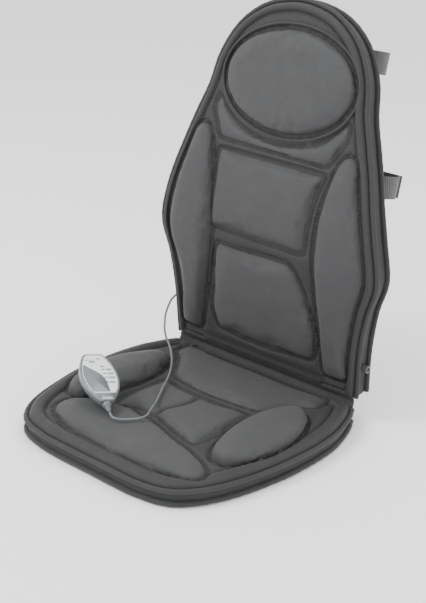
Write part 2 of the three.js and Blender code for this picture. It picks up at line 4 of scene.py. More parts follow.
import bmesh
import bpy
import numpy as np
from mathutils import Euler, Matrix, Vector, noise
from mathutils.bvhtree import BVHTree
from mathutils.geometry import delaunay_2d_cdt


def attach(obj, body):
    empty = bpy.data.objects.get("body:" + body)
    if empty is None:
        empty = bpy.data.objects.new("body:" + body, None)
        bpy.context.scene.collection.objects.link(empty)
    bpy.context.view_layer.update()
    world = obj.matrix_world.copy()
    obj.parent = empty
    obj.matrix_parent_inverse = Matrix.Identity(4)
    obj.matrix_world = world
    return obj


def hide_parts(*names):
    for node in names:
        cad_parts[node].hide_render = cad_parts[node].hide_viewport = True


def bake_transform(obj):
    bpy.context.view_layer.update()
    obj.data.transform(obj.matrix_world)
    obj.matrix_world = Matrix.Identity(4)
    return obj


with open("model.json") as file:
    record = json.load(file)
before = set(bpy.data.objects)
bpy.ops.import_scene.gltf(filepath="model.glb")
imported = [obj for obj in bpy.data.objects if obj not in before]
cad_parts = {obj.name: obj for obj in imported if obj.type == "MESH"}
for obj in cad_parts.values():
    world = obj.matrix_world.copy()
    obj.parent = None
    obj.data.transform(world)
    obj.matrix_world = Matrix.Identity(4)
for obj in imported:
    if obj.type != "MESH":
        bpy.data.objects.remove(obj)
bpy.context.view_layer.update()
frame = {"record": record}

MM = 0.001

# ---- the pads' shapes, in millimetres, as the frame has them ----
SEAT_FRONT, SEAT_REAR, SEAT_TOP = -238, 203, 29.4
CREASE_Y, CREASE_Z = 205, 38
BACK_BOTTOM, BACK_HEIGHT = 3, 664
BACK_FACE = 2.4          # the front cover stands this far in front of the pad's reference face
BACK_DEPTH = 36
LOWER_LEAN, UPPER_LEAN = math.radians(-4.5), math.radians(12.6)
BEND_START, BEND_END = 230, 370


def profile(pairs):
    """A smooth function through a few (position, value) pairs."""
    p = np.array([a for a, _ in pairs], float)
    v = np.array([b for _, b in pairs], float)
    n = len(pairs)
    ahead = np.minimum(np.arange(n) + 1, n - 1)
    behind = np.maximum(np.arange(n) - 1, 0)
    slope = (v[ahead] - v[behind]) / (p[ahead] - p[behind])

    def at(q):
        q = np.asarray(q, float)
        i = np.clip(np.searchsorted(p, q) - 1, 0, n - 2)
        span = p[i + 1] - p[i]
        t = np.clip((q - p[i]) / span, 0, 1)
        return (v[i] * (1 + 2 * t) * (1 - t) ** 2 + slope[i] * span * t * (1 - t) ** 2
                + v[i + 1] * t * t * (3 - 2 * t) + slope[i + 1] * span * t * t * (t - 1))
    return at


def on_seat(x, y, out):
    """Across, along and above the seat's top cover, in metres of the frame."""
    x, y, out = np.broadcast_arrays(*(np.asarray(a, float) for a in (x, y, out)))
    return np.stack([x, y, SEAT_TOP + out], -1) * MM


def on_back(x, up, out):
    """Across, up and in front of the back's front cover, in metres of the frame."""
    x, up, out = np.broadcast_arrays(*(np.asarray(a, float) for a in (x, up, out)))
    depth = -BACK_FACE - out
    radius = (BEND_END - BEND_START) / (UPPER_LEAN - LOWER_LEAN)
    lower = np.minimum(up, BEND_START)
    upper = np.maximum(up - BEND_END, 0)
    lean = LOWER_LEAN + np.clip(up - BEND_START, 0, BEND_END - BEND_START) / radius
    y = (lower * math.sin(LOWER_LEAN) + radius * (math.cos(LOWER_LEAN) - np.cos(lean))
         + upper * math.sin(UPPER_LEAN))
    z = (lower * math.cos(LOWER_LEAN) + radius * (np.sin(lean) - math.sin(LOWER_LEAN))
         + upper * math.cos(UPPER_LEAN))
    y = CREASE_Y + y + depth * np.cos(lean)
    z = CREASE_Z + z - depth * np.sin(lean)
    return np.stack([x, y, z], -1) * MM


class Pad:
    """One of the two pads: its body, its outline and how its surface lies in the frame."""

    def __init__(self, body, place, pairs, crease, far):
        self.body, self.place, self.half = body, place, profile(pairs)
        self.crease, self.far = crease, far

    def outline(self, inset=0.0, spacing=4.0):
        """The edge as a closed loop from the crease's left end, round the far end and back."""
        rows = np.linspace(self.crease, self.far, 120)
        side = np.stack([-self.half(rows), rows], -1)
        loop = np.vstack([side, side[::-1] * (-1, 1)])
        loop = resample(soften(loop, 3), spacing)
        return offset(loop, inset)


def soften(loop, times):
    """Rounds a closed loop's corners, by corner cutting."""
    for _ in range(times):
        ahead = np.roll(loop, -1, 0)
        loop = np.stack([loop * 0.75 + ahead * 0.25, loop * 0.25 + ahead * 0.75], 1).reshape(-1, 2)
    return loop


def averaged(loop, times):
    """Smooths a closed loop by averaging each point with its neighbours."""
    for _ in range(times):
        loop = (np.roll(loop, 1, 0) + 2 * loop + np.roll(loop, -1, 0)) / 4
    return loop


def resample(loop, spacing, closed=True):
    """Even points along a line or closed loop."""
    line = np.vstack([loop, loop[:1]]) if closed else np.asarray(loop, float)
    run = np.r_[0, np.cumsum(np.linalg.norm(np.diff(line, axis=0), axis=1))]
    count = max(int(round(run[-1] / spacing)), 8)
    at = np.linspace(0, run[-1], count + (not closed), endpoint=not closed)
    return np.stack([np.interp(at, run, line[:, k]) for k in range(line.shape[1])], -1)


def normals(loop, closed=True):
    """The outward side of a loop, as unit vectors in its plane."""
    if closed:
        along = np.roll(loop, -1, 0) - np.roll(loop, 1, 0)
    else:
        along = np.gradient(loop, axis=0)
    along /= np.maximum(np.linalg.norm(along, axis=1, keepdims=True), 1e-9)
    side = np.stack([along[:, 1], -along[:, 0]], -1)
    return side if area(loop) > 0 else -side


def area(loop):
    """A loop's area, negative when it runs clockwise."""
    x, y = loop[:, 0], loop[:, 1]
    return 0.5 * float(np.sum(x * np.roll(y, -1) - np.roll(x, -1) * y))


def offset(loop, inset):
    """The loop moved inwards by the inset, or outwards by a negative one."""
    return loop - normals(loop) * inset


def curve_through(points, spacing=4.0, closed=True):
    """A smooth loop or line through a few points, by centred tangents."""
    p = np.asarray(points, float)
    n = len(p)
    ahead = np.roll(p, -1, 0) if closed else p[np.minimum(np.arange(n) + 1, n - 1)]
    behind = np.roll(p, 1, 0) if closed else p[np.maximum(np.arange(n) - 1, 0)]
    slope = (ahead - behind) / 2
    out = []
    for i in range(n if closed else n - 1):
        j = (i + 1) % n
        t = np.linspace(0, 1, 24, endpoint=False)[:, None]
        out.append(p[i] * (1 + 2 * t) * (1 - t) ** 2 + slope[i] * t * (1 - t) ** 2
                   + p[j] * t * t * (3 - 2 * t) + slope[j] * t * t * (t - 1))
    line = np.vstack(out + ([] if closed else [p[-1:]]))
    return resample(line, spacing, closed)


def distance(points, line, closed=True):
    """How far each 2-D point is from a line or loop."""
    a = line if closed else line[:-1]
    b = np.roll(line, -1, 0) if closed else line[1:]
    best = np.full(len(points), 1e9)
    for start in range(0, len(points), 4000):
        p = points[start:start + 4000, None]
        ab = b - a
        t = np.clip(((p - a) * ab).sum(-1) / np.maximum((ab ** 2).sum(-1), 1e-9), 0, 1)
        gap = np.linalg.norm(p - a - t[..., None] * ab, axis=-1)
        best[start:start + 4000] = gap.min(1)
    return best


def inside(points, loop):
    """Whether each 2-D point is inside a closed loop."""
    x, y = points[:, :1], points[:, 1:]
    x0, y0 = loop[:, 0], loop[:, 1]
    x1, y1 = np.roll(x0, -1), np.roll(y0, -1)
    spans = (y0 > y) != (y1 > y)
    cross = x0 + (y - y0) / np.where(y1 == y0, 1e-9, y1 - y0) * (x1 - x0)
    return (spans & (x < cross)).sum(1) % 2 == 1


SEAT = Pad("seat", on_seat, [
    (SEAT_FRONT, 92), (-228, 146), (-205, 180), (-160, 207), (-90, 227),
    (0, 240), (90, 238), (160, 220), (SEAT_REAR, 199),
], SEAT_REAR, SEAT_FRONT)
BACK = Pad("back", on_back, [
    (0, 203), (100, 208), (175, 220), (232, 236), (295, 227), (395, 199), (447, 182),
    (500, 164), (555, 152), (605, 126), (637, 92), (656, 54), (BACK_HEIGHT, 14),
], BACK_BOTTOM, BACK_HEIGHT)

# ---- camera ----
CAMERA_AT = (1.252, -1.410, 1.006)
CAMERA_LOOK = (-0.6004, 0.7029, -0.3814)
CAMERA_ROLL = math.radians(2.06)
SENSOR, LENS = 36.0, 72.89552          # millimetres

camera = bpy.data.objects.new("camera", bpy.data.cameras.new("camera"))
bpy.context.scene.collection.objects.link(camera)
camera.location = CAMERA_AT
camera.rotation_mode = "QUATERNION"
turn = Vector(CAMERA_LOOK).to_track_quat("-Z", "Y")
camera.rotation_quaternion = turn @ Euler((0, 0, CAMERA_ROLL)).to_quaternion()
camera.data.sensor_width = SENSOR
camera.data.lens = LENS
camera.data.clip_start = 0.05
bpy.context.scene.camera = camera


# ---- making objects ----
def mesh_object(name, verts, faces, smooth=True):
    """A new piece from points in metres and faces, with its normals turned outwards."""
    mesh = bpy.data.meshes.new(name)
    mesh.from_pydata([tuple(v) for v in verts], [], [tuple(f) for f in faces])
    mesh.validate()
    mesh.shade_smooth() if smooth else mesh.shade_flat()
    piece = bpy.data.objects.new(name, mesh)
    bpy.context.scene.collection.objects.link(piece)
    work = bmesh.new()
    work.from_mesh(mesh)
    bmesh.ops.recalc_face_normals(work, faces=work.faces)
    work.to_mesh(mesh)
    work.free()
    return piece


def grid_faces(rows, columns, wrap=False):
    """Quads of a grid of rows by columns; wrap joins the last column to the first."""
    index = np.arange(rows * columns).reshape(rows, columns)
    if wrap:
        index = np.hstack([index, index[:, :1]])
    a, b, c, d = index[:-1, :-1], index[:-1, 1:], index[1:, 1:], index[1:, :-1]
    return np.stack([a, b, c, d], -1).reshape(-1, 4).tolist()


def rings_object(name, rings, smooth=True, capped=True):
    """A closed body through rings of points, each end closed by a fan."""
    rings = np.asarray(rings, float)
    rows, count = rings.shape[:2]
    verts = rings.reshape(-1, 3).tolist()
    faces = grid_faces(rows, count, wrap=True)
    if capped:
        for first, ring in ((0, rings[0]), ((rows - 1) * count, rings[-1])):
            verts.append(ring.mean(0).tolist())
            middle = len(verts) - 1
            faces += [(first + k, first + (k + 1) % count, middle) for k in range(count)]
    return mesh_object(name, verts, faces, smooth)


def weld(piece):
    """Joins points that lie in the same place, such as a ring's two ends."""
    work = bmesh.new()
    work.from_mesh(piece.data)
    bmesh.ops.remove_doubles(work, verts=work.verts, dist=1e-6)
    work.to_mesh(piece.data)
    work.free()
    return piece


def loop_tube(name, path, radius, about, sides=10):
    """A round tube closed on itself, lying in the plane across the direction about."""
    path = np.asarray(path, float)
    along = np.roll(path, -1, 0) - np.roll(path, 1, 0)
    along /= np.linalg.norm(along, axis=1, keepdims=True)
    side = about - along * (along @ about)[:, None]
    side /= np.linalg.norm(side, axis=1, keepdims=True)
    other = np.cross(along, side)
    angles = np.linspace(0, 2 * math.pi, sides, endpoint=False)
    rings = [path + radius * (math.cos(a) * side + math.sin(a) * other) for a in angles]
    rings = np.stack(rings, 1)
    return weld(rings_object(name, np.concatenate([rings, rings[:1]]), capped=False))


def tube_object(name, path, radius, sides=12):
    """A round tube along a 3-D path; radius is a number or one for each point."""
    path = np.asarray(path, float)
    radius = np.broadcast_to(radius, len(path))
    along = np.gradient(path, axis=0)
    along /= np.linalg.norm(along, axis=1, keepdims=True)
    side = np.cross(along[0], (0.3, 0.2, 0.93))
    side /= np.linalg.norm(side)
    angles = np.linspace(0, 2 * math.pi, sides, endpoint=False)
    rings = []
    for p, t, r in zip(path, along, radius):
        side = side - t * side.dot(t)
        side /= np.linalg.norm(side)
        other = np.cross(t, side)
        rings.append([p + r * (math.cos(a) * side + math.sin(a) * other) for a in angles])
    return rings_object(name, rings)


def apply_modifiers(piece):
    """Bakes a piece's modifiers into its mesh."""
    graph = bpy.context.evaluated_depsgraph_get()
    mesh = bpy.data.meshes.new_from_object(piece.evaluated_get(graph))
    piece.modifiers.clear()
    old = piece.data
    piece.data = mesh
    mesh.name = piece.name
    bpy.data.meshes.remove(old)
    mesh.shade_smooth()


def coordinates_of(mesh):
    """A mesh's points, one row each."""
    out = np.empty(len(mesh.vertices) * 3)
    mesh.vertices.foreach_get("co", out)
    return out.reshape(-1, 3)


def coordinates(piece):
    return coordinates_of(piece.data)


def set_coordinates(piece, verts):
    piece.data.vertices.foreach_set("co", np.asarray(verts, float).ravel())
    piece.data.update()


def noise_at(points, size, seed=0.0):
    """Smooth noise from -1 to 1 at 2-D or 3-D points, with features of about size."""
    flat = np.asarray(points, float) / size + seed
    if flat.shape[1] == 2:
        flat = np.c_[flat, np.full(len(flat), seed)]
    return np.array([noise.noise(Vector(p)) for p in flat])


# ---- the cord: from the gland on the back's left edge to the handset's collar ----
CORD_RADIUS = 2
CORD_ROUTE = [
    (-222, 214, 118), (-229, 211, 111), (-231, 202, 104), (-226, 188, 96), (-215, 169, 88),
    (-201, 152, 81), (-186, 136, 75), (-170, 123, 69), (-154, 114, 63), (-138, 103, 56),
    (-118, 84, 49), (-98, 59, 45.6), (-80, 33, 45.3), (-64, 5, 45.3), (-45, -25, 45.3),
    (-29, -51, 46), (-15, -73, 50.6), (-3, -93, 53.8), (5, -110, 54.8), (3, -126, 55),
    (-6, -139, 55), (-17, -151, 55.5), (-29, -155, 56.5), (-40.5, -150.2, 60),
]
CORD_SPLIT = 13          # the route's point where the lying stretch is parted for the handset


def cord_piece(name, points):
    """One stretch of the cord: a round tube along its points, in place of the CAD cord."""
    path = curve_through(points, spacing=2.5, closed=False) * MM
    piece = tube_object(name, path, CORD_RADIUS * MM, sides=10)
    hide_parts("handset_cord")
    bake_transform(piece)
    return piece


cord_route = curve_through(CORD_ROUTE, spacing=6, closed=False)
split = int(np.argmin(np.linalg.norm(cord_route - np.array(CORD_ROUTE[CORD_SPLIT]), axis=1)))
cord_pieces = [
    cord_piece("handset_cord_from_back", cord_route[:split + 1]),
    cord_piece("handset_cord_on_seat", cord_route[split:]),
]

# ---- floor, world and lights ----
floor = mesh_object("floor", [(-6, -6, 0), (6, -6, 0), (6, 6, 0), (-6, 6, 0)], [(0, 1, 2, 3)])
floor.location.z = -0.0005
white = bpy.data.materials.new("floor_white")
white.use_nodes = True
white.node_tree.nodes["Principled BSDF"].inputs["Base Color"].default_value = (0.96, 0.96, 0.965, 1)
white.node_tree.nodes["Principled BSDF"].inputs["Roughness"].default_value = 0.7
floor.data.materials.append(white)

world = bpy.data.worlds.new("studio")
bpy.context.scene.world = world
world.use_nodes = True
world.node_tree.nodes["Background"].inputs["Color"].default_value = (1, 1, 1, 1)
world.node_tree.nodes["Background"].inputs["Strength"].default_value = 1.55


def area_light(name, at, towards, size, power):
    light = bpy.data.lights.new(name, "AREA")
    light.shape, light.size, light.energy = "DISK", size, power
    lamp = bpy.data.objects.new(name, light)
    lamp.location = at
    lamp.rotation_euler = (Vector(towards) - Vector(at)).to_track_quat("-Z", "Y").to_euler()
    bpy.context.scene.collection.objects.link(lamp)


area_light("key", (-1.2, -1.6, 2.4), (0, 0.1, 0.3), 1.2, 60)
area_light("fill", (2.2, -1.2, 1.4), (0, 0.1, 0.3), 1.6, 16)
area_light("top", (0.2, 0.6, 2.6), (0, 0, 0.2), 1.4, 22)

# ---- materials: every pattern is worked out from the object's own coordinates ----
def material(name, colour, rough, vary=0.12, grain=None, weave=None, sheen=0.0, metal=0.0,
             worn=0.0, coat=0.0, bump=0.25, shade=0.0):
    """A surface with cloudy colour variation, and with a fine grain, a weave or both.
    grain is (size, depth) and weave (thread width, depth), in metres and 0 to 1; shade is how
    strongly painted shade darkens the colour along the seams, where they pull the cloth in."""
    mat = bpy.data.materials.new(name)
    mat.use_nodes = True
    tree = mat.node_tree
    shader = tree.nodes["Principled BSDF"]
    link = tree.links.new

    def node(kind, **inputs):
        made = tree.nodes.new(kind)
        for key, value in inputs.items():
            made.inputs[key].default_value = value
        return made

    def feed(socket, value):
        if hasattr(value, "is_linked"):
            link(value, socket)
        else:
            socket.default_value = value

    def mix(amount, a, b):
        made = tree.nodes.new("ShaderNodeMix")
        made.data_type = "RGBA"
        for key, value in (("Factor", amount), ("A", a), ("B", b)):
            feed(made.inputs[key], value)
        return made.outputs["Result"]

    def maths(operation, a, b=0.0):
        made = tree.nodes.new("ShaderNodeMath")
        made.operation = operation
        for socket, value in zip(made.inputs, (a, b)):
            feed(socket, value)
        return made.outputs[0]

    place = tree.nodes.new("ShaderNodeTexCoord").outputs["Object"]

    def clouds(size, detail=3.0):
        made = node("ShaderNodeTexNoise", Scale=1 / size, Detail=detail)
        link(place, made.inputs["Vector"])
        return made.outputs["Fac"]

    dark = tuple(c * (1 - vary) for c in colour) + (1,)
    light = tuple(min(c * (1 + vary), 1) for c in colour) + (1,)
    base = mix(clouds(0.06), dark, light)
    base = mix(maths("MULTIPLY", clouds(0.006, 4.0), 0.5), base, dark)
    relief = maths("MULTIPLY", clouds(0.0012, 2.0), 0.25)
    if grain:
        cells = node("ShaderNodeTexVoronoi", Scale=1 / grain[0])
        cells.feature = "DISTANCE_TO_EDGE"
        link(place, cells.inputs["Vector"])
        edge = maths("MINIMUM", maths("MULTIPLY", cells.outputs["Distance"], 4.0), 1.0)
        relief = maths("ADD", relief, maths("MULTIPLY", edge, grain[1]))
        base = mix(maths("MULTIPLY", maths("SUBTRACT", 1.0, edge), 0.25 * grain[1]), base, dark)
    if weave:
        threads = []
        for turn in ((0, 0, 0.6), (0.5, 0.3, -0.97)):
            lie = node("ShaderNodeMapping", Rotation=turn)
            link(place, lie.inputs["Vector"])
            waves = node("ShaderNodeTexWave", Scale=0.32 / weave[0], Distortion=0.4)
            link(lie.outputs["Vector"], waves.inputs["Vector"])
            threads.append(waves.outputs["Fac"])
        cloth = maths("MULTIPLY", threads[0], threads[1])
        relief = maths("ADD", relief, maths("MULTIPLY", cloth, weave[1]))
        base = mix(maths("MULTIPLY", cloth, 0.45 * weave[1]), base, light)
    # painted shade: the seam_shade attribute darkens the colour towards a near-black copy of it,
    # standing in for shadow in the seam grooves
    if shade:
        seam = tree.nodes.new("ShaderNodeAttribute")
        seam.attribute_name = "seam_shade"
        painted_seam_shadow = tuple(c * 0.25 for c in colour) + (1,)
        base = mix(maths("MULTIPLY", seam.outputs["Fac"], shade), base, painted_seam_shadow)
    if worn:
        wear = node("ShaderNodeNewGeometry").outputs["Pointiness"]
        ridge = maths("MULTIPLY", maths("SUBTRACT", wear, 0.5), 6.0)
        ridge = maths("MULTIPLY", maths("MAXIMUM", ridge, 0.0), worn)
        pale = tuple(min(c * 1.7 + 0.02, 1) for c in colour) + (1,)
        base = mix(maths("MINIMUM", ridge, 0.6), base, pale)
    link(base, shader.inputs["Base Color"])
    spread = maths("MULTIPLY", maths("SUBTRACT", clouds(0.02), 0.5), 0.3)
    link(maths("ADD", spread, rough), shader.inputs["Roughness"])
    shader.inputs["Metallic"].default_value = metal
    shader.inputs["Sheen Weight"].default_value = sheen
    shader.inputs["Specular IOR Level"].default_value = 0.3 if sheen else 0.5
    shader.inputs["Sheen Roughness"].default_value = 0.45
    shader.inputs["Coat Weight"].default_value = coat
    shader.inputs["Coat Roughness"].default_value = 0.25
    ripple = node("ShaderNodeBump", Strength=bump, Distance=0.0009)
    link(relief, ripple.inputs["Height"])
    link(ripple.outputs["Normal"], shader.inputs["Normal"])
    return mat


CHARCOAL = (0.0240, 0.0244, 0.0252)
LOOKS = {
    "leatherette": material("leatherette", CHARCOAL, 0.66, grain=(0.0022, 0.5), sheen=0.06,
                            worn=0.5, vary=0.14, shade=0.8, bump=0.5),
    "cushion_cover": material("cushion_cover", (0.046, 0.0468, 0.0482), 0.68,
                              grain=(0.0020, 0.5), sheen=0.07, worn=0.5, vary=0.14,
                              shade=0.8, bump=0.5),
    "side_fabric": material("side_fabric", (0.031, 0.0316, 0.033), 0.85,
                            weave=(0.0016, 0.8), sheen=0.15, vary=0.15),
    "foam": material("foam", (0.62, 0.58, 0.46), 0.95, grain=(0.003, 1.0), vary=0.08, bump=0.8),
    "dark_plastic": material("dark_plastic", (0.042, 0.046, 0.050), 0.42,
                             grain=(0.0009, 0.5), worn=0.7, vary=0.1, bump=0.12),
    "motor_steel": material("motor_steel", (0.42, 0.43, 0.45), 0.34, metal=0.95,
                            worn=0.3, vary=0.07, bump=0.08),
    "nylon_gear": material("nylon_gear", (0.74, 0.71, 0.64), 0.48, vary=0.04, worn=0.2, bump=0.1),
    "rubber_node": material("rubber_node", (0.028, 0.028, 0.031), 0.75,
                            grain=(0.0014, 0.4), vary=0.2),
    "webbing": material("webbing", (0.042, 0.043, 0.046), 0.8, weave=(0.0021, 1.0), sheen=0.3,
                        vary=0.15, bump=0.7),
    "handset_dark": material("handset_dark", (0.072, 0.082, 0.090), 0.30, coat=0.35,
                             worn=0.5, vary=0.06, bump=0.05),
    "handset_silver": material("handset_silver", (0.74, 0.76, 0.78), 0.32, metal=0.1,
                               coat=0.3, vary=0.04, bump=0.05),
    "circuit_board": material("circuit_board", (0.03, 0.14, 0.06), 0.4, grain=(0.004, 0.6),
                              coat=0.3, vary=0.15, bump=0.1),
    "button_grey": material("button_grey", (0.33, 0.35, 0.37), 0.5, vary=0.06, worn=0.4,
                            bump=0.08),
    "cord_jacket": material("cord_jacket", (0.12, 0.125, 0.132), 0.45, vary=0.08, bump=0.1),
    "thread": material("thread", (0.066, 0.067, 0.07), 0.7, weave=(0.0005, 1.0), sheen=0.1),
    "handset_trim": material("handset_trim", (0.15, 0.157, 0.166), 0.28, metal=0.3, coat=0.5,
                             vary=0.04, worn=0.4, bump=0.05),
    "handset_wave": material("handset_wave", (0.15, 0.16, 0.169), 0.34, metal=0.2, coat=0.3,
                             vary=0.04, bump=0.05),
    "handset_mark": material("handset_mark", (0.024, 0.025, 0.027), 0.5, vary=0.05),
}


def dress(piece, look, body):
    """Gives a piece its material and its body."""
    piece.data.materials.clear()
    piece.data.materials.append(LOOKS[look])
    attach(piece, body)
    return piece


for piece in cord_pieces:
    piece.data.materials.append(LOOKS["cord_jacket"])

# ---- sewn pads ----


def triangulate(loop, points):
    """The points inside a loop, and the loop itself, as 2-D points and triangles."""
    loop = np.asarray(loop)
    spots = np.vstack([loop, points]) if len(points) else loop
    ring = list(range(len(loop)))
    out, _, faces, *_ = delaunay_2d_cdt([Vector(p) for p in spots], [], [ring], 1, 1e-4)
    return np.array([tuple(p) for p in out]), faces


def hexagons(loop, spacing, margin):
    """Points of a triangular lattice inside a loop, at least a margin from it."""
    low, high = loop.min(0), loop.max(0)
    rows = np.arange(low[1], high[1], spacing * 0.866)
    across = np.arange(low[0], high[0], spacing)
    points = np.array([(x + spacing / 2 * (k % 2), y) for k, y in enumerate(rows) for x in across])
    points = points[inside(points, loop)]
    return points[distance(points, loop) > margin]


def sandwich(name, flat, faces, top, bottom):
    """A closed body between two heights over one triangulation, joined along its edge."""
    count = len(flat)
    verts = np.vstack([np.c_[flat, top], np.c_[flat, bottom]])
    edge = {}
    for f in faces:
        for a, b in zip(f, list(f[1:]) + [f[0]]):
            edge[(a, b)] = edge.get((a, b), 0) + 1
    rim = [(a, b) for a, b in edge if (b, a) not in edge]
    body = [tuple(f) for f in faces]
    body += [tuple(count + k for k in reversed(f)) for f in faces]
    body += [(b, a, count + a, count + b) for a, b in rim]
    return mesh_object(name, verts, body)


def stuffed(run, reach, height, power=2.2):
    """Height of a crowned cushion at a distance from its seam."""
    t = np.clip(run / reach, 0, 1)
    return height * (1 - (1 - t) ** power) ** (1 / power)


def arc(cx, cy, rx, ry, start, end, count):
    """Points on an ellipse between two angles in degrees."""
    return [(cx + rx * math.cos(math.radians(a)), cy + ry * math.sin(math.radians(a)))
            for a in np.linspace(start, end, count)]


HEAD = (7, 532, 141, 93)          # the oval: its centre and its two radii
WING_INNER = profile([(30, 140), (110, 127), (230, 111), (320, 113), (385, 126), (430, 148)])


def wing(side):
    """The wing's seam: up its inner edge, over its round top and down beside the pad's edge."""
    inner = [(side * float(WING_INNER(up)), up) for up in np.linspace(34, 385, 13)]
    top = [(side * x, up) for x, up in ((133, 410), (142, 430), (156, 440), (170, 436),
                                        (180, 422))]
    outer = [(side * (float(BACK.half(up)) - 12), up) for up in np.linspace(402, 34, 14)]
    return inner + top + outer


def mirrored(points):
    """The same outline on the other side, still running the same way round."""
    return [(-x, y) for x, y in reversed(points)]


LEAF_RIGHT = [
    (128, -84), (119, -48), (113, 0), (115, 52), (132, 98), (158, 122), (186, 104), (210, 60),
    (222, 10), (221, -44), (206, -92), (182, -122), (150, -120),
]
NECK = ([(-124, 411), (0, 409), (120, 405), (131, 428), (146, 450), (150, 468)]
        + arc(4, 532, 152, 106, -22, -160, 15) + [(-148, 466), (-144, 452), (-131, 432)])

# Every cushion: its CAD node, its pad, its seam's outline, its height, how far in the crown
# reaches, and how full it is stuffed.
CUSHIONS = {
    "seat_front_bolster": (SEAT, [
        (-166, -146), (-156, -120), (-110, -96), (-50, -80), (10, -86), (60, -102), (112, -116),
        (152, -130), (184, -150), (192, -174), (174, -194), (130, -207), (60, -213), (-20, -213),
        (-90, -208), (-140, -190), (-162, -168),
    ], 21.5, 46, 0.7),
    "seat_centre_panel": (SEAT, [
        (-98, -88), (-50, -70), (0, -74), (56, -92), (106, -104), (112, -50), (106, 0),
        (104, 50), (60, 44), (0, 39), (-60, 41), (-98, 48), (-104, 0), (-106, -50),
    ], 12, 40, 0.5),
    "seat_rear_panel": (SEAT, [
        (-104, 62), (-50, 52), (0, 50), (60, 56), (106, 64), (124, 96), (150, 132), (172, 146),
        (170, 186), (0, 188), (-170, 186), (-172, 146), (-150, 132), (-124, 96),
    ], 12.5, 40, 0.5),
    "seat_left_bolster": (SEAT, mirrored(LEAF_RIGHT), 33, 54, 0.8),
    "seat_right_bolster": (SEAT, LEAF_RIGHT, 33, 54, 0.8),
    "head_oval_cushion": (BACK, arc(*HEAD, 0, 350, 36), 21, 44, 0.7),
    "neck_panel": (BACK, NECK, 9.5, 22, 0.4),
    "upper_back_panel": (BACK, [
        (-123, 252), (97, 248), (99, 290), (103, 330), (112, 370), (122, 397), (-122, 399),
    ], 14, 40, 0.5),
    "lumbar_panel": (BACK, [
        (-104, 50), (-120, 92), (-116, 160), (-108, 228), (60, 231), (76, 222), (102, 176),
        (120, 132), (129, 96), (122, 54), (0, 45),
    ], 17, 38, 0.6),
    "back_left_wing": (BACK, wing(-1), 21, 34, 0.7),
    "back_right_wing": (BACK, wing(1), 21, 34, 0.7),
}
WADDING = 5.5            # the padded cover's own rise above its bare surface
SUNK = 4.2               # a cushion's seam lies this far below the wadding
PULLED_IN = 1.5          # and its cloth starts this far inside the seam before it is stuffed
CORNER = 9               # how far a seam's corners are rounded off
SEAM_STEP = 3.5          # distance between a seam's points
SEAT_RIM, BACK_RIM = (27, 10), (15, 8)   # width and height of each pad's rolled rim


def seam_loop(points):
    """A seam's outline: straight runs between its points, with rounded corners."""
    loop = resample(np.asarray(points, float), SEAM_STEP)
    if area(loop) < 0:
        loop = loop[::-1]
    return resample(averaged(loop, int((CORNER / SEAM_STEP) ** 2 * 2)), SEAM_STEP)


SEAMS = {name: seam_loop(row[1]) for name, row in CUSHIONS.items()}
# Channels sewn across a cushion.
CHANNELS = {
    "seat_centre_panel": [curve_through(
        [(-36, 46), (-10, 34), (2, 12), (0, -12), (-10, -38), (-22, -74)],
        SEAM_STEP, closed=False)],
}

# Sewn lines that aren't round a cushion.
NECK_LINE = curve_through([(-122, 419), (-60, 417), (0, 415), (60, 414), (118, 411)],
                          spacing=SEAM_STEP, closed=False)
LOWER_BAND = curve_through([(-184, 31), (-90, 30), (0, 30), (90, 30), (184, 31)],
                           spacing=SEAM_STEP, closed=False)


def skin(name, pad, rim, lines, body):
    """The padded cover of one pad: a soft rolled rim, wadding, and grooves along every seam."""
    rim_width, rim_height = rim
    loop = pad.outline()
    seams = [SEAMS[n] for n, row in CUSHIONS.items() if row[0] is pad]
    extra = [offset(loop, d) for d in np.linspace(2.5, rim_width + 6, 12)]
    for seam in seams:
        extra += [offset(seam, -d) for d in (2.5, 5, 8)]
    points = np.vstack([hexagons(loop, 6.0, 2.0)] + extra)
    points = points[inside(points, loop)]
    points = points[distance(points, loop) > 1.2]
    flat, faces = triangulate(loop, points)

    run = distance(flat, loop)
    crease_run = np.abs(flat[:, 1] - pad.crease)
    beside = np.where(run < crease_run - 0.5, run, rim_width * 2)
    across = np.clip(beside / rim_width, 0, 1)
    roll = rim_height * np.sqrt(np.clip(1 - (2 * across - 1) ** 2, 0, 1))
    rise = np.where(across < 1, roll, 0)
    rise = np.maximum(rise, stuffed(np.maximum(beside - rim_width, 0), 12, WADDING))
    rise *= np.clip(crease_run / 18, 0, 1) ** 0.8
    # dark is painted shade: strongest in the seam grooves, along the sewn lines and where the
    # rolled rim meets the wadding; the material darkens the cover by it
    dark = np.zeros(len(flat))
    for seam in seams:
        gap = distance(flat, seam)
        dark = np.maximum(dark, np.exp(-(gap / 3.2) ** 2))
        rise -= 3.6 * np.exp(-(gap / 4.0) ** 2) * (~inside(flat, seam) | (gap < 2))
        rise = np.where(inside(flat, seam) & (gap > 3), np.minimum(rise, WADDING - 3), rise)
    for line in lines:
        rise -= 3.4 * np.exp(-(distance(flat, line, closed=False) / 3.2) ** 2)
        dark = np.maximum(dark, np.exp(-(distance(flat, line, closed=False) / 2.6) ** 2))
    dark = np.maximum(dark, np.exp(-((beside - rim_width - 1) / 3) ** 2))
    rise += 0.7 * noise_at(flat, 55, 3.1) + 0.35 * noise_at(flat, 18, 7.7)
    rise = np.maximum(rise, 0.3) * np.clip(run / 2.0, 0, 1)
    piece = sandwich(name, flat, faces, rise, np.full(len(flat), -1.6))
    verts = coordinates(piece)
    set_coordinates(piece, pad.place(verts[:, 0], verts[:, 1], verts[:, 2]))
    shade_seams(piece, np.r_[dark, dark])
    return dress(piece, "leatherette", body)


